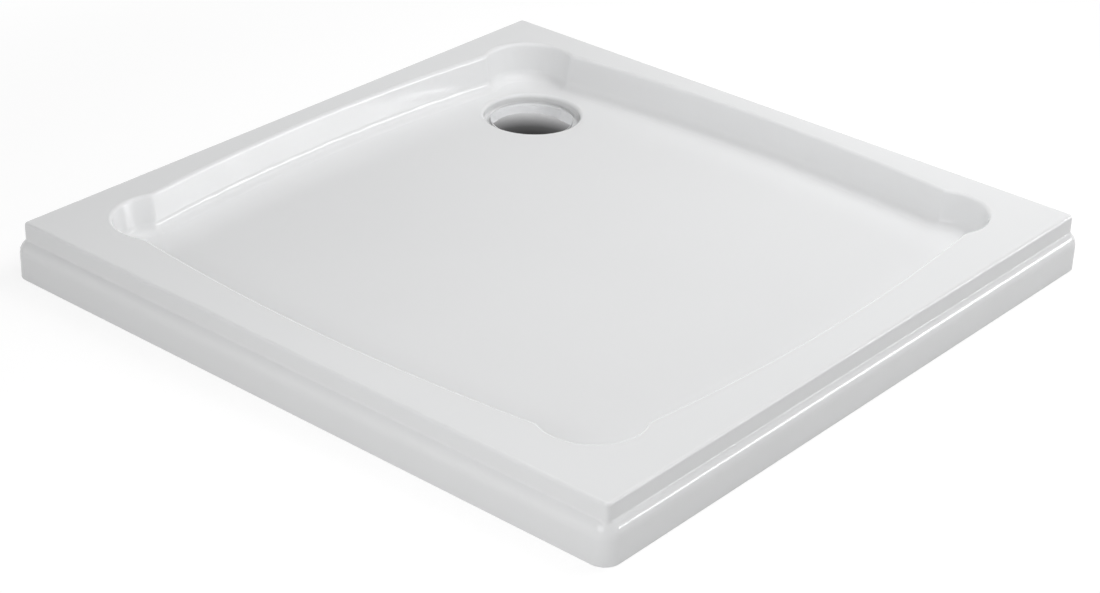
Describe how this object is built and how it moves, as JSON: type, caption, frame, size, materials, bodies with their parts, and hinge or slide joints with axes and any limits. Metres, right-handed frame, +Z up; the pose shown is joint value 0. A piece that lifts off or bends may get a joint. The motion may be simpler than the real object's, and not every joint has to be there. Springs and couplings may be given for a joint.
{
  "type": "shower tray",
  "caption": "Low square shower tray with a moulded apron, a bowed basin with a round lobe in each corner, and a domed chrome waste cover in one corner.",
  "frame": {"origin": "on the ground below the middle of the square footprint", "axes": "+Z up, X and Y along the sides, the waste in the (-X, +Y) corner that stands against the walls"},
  "size_m": [0.9, 0.9, 0.069],
  "materials": {
    "white_acrylic": "high gloss",
    "glass_fibre": "rough laminate with visible strands",
    "base_board": "pressed wood chips",
    "timber": "sawn softwood",
    "pad_rubber": "matt",
    "seal_rubber": "matt",
    "clamp_plastic": "moulded",
    "flange_steel": "turned stainless steel",
    "screw_steel": "stainless steel",
    "strainer_plastic": "moulded, fine grain",
    "cover_chrome": "polished chrome plate"
  },
  "bodies": {
    "tray": {"tray_shell": "white_acrylic", "fibre_backing": "glass_fibre", "base_board": "base_board", "rail_right": "timber", "rail_back": "timber", "rail_left": "timber", "rail_front": "timber", "corner_blocks": "timber", "rail_pads": "pad_rubber", "board_pads": "pad_rubber", "lower_seal": "seal_rubber", "clamp_ring": "clamp_plastic", "upper_seal": "seal_rubber", "waste_flange": "flange_steel", "flange_screws": "screw_steel"},
    "strainer": {"strainer": "strainer_plastic", "sealing_ring": "seal_rubber"},
    "cover": {"waste_cover": "cover_chrome", "cover_hub": "strainer_plastic"}
  },
  "joints": [
    {"name": "strainer_lift", "type": "slide", "parent": "tray", "child": "strainer", "axis": [0, 0, 1], "range_m": [0, 0.08]},
    {"name": "cover_lift", "type": "slide", "parent": "strainer", "child": "cover", "axis": [0, 0, 1], "range_m": [0, 0.08]}
  ]
}
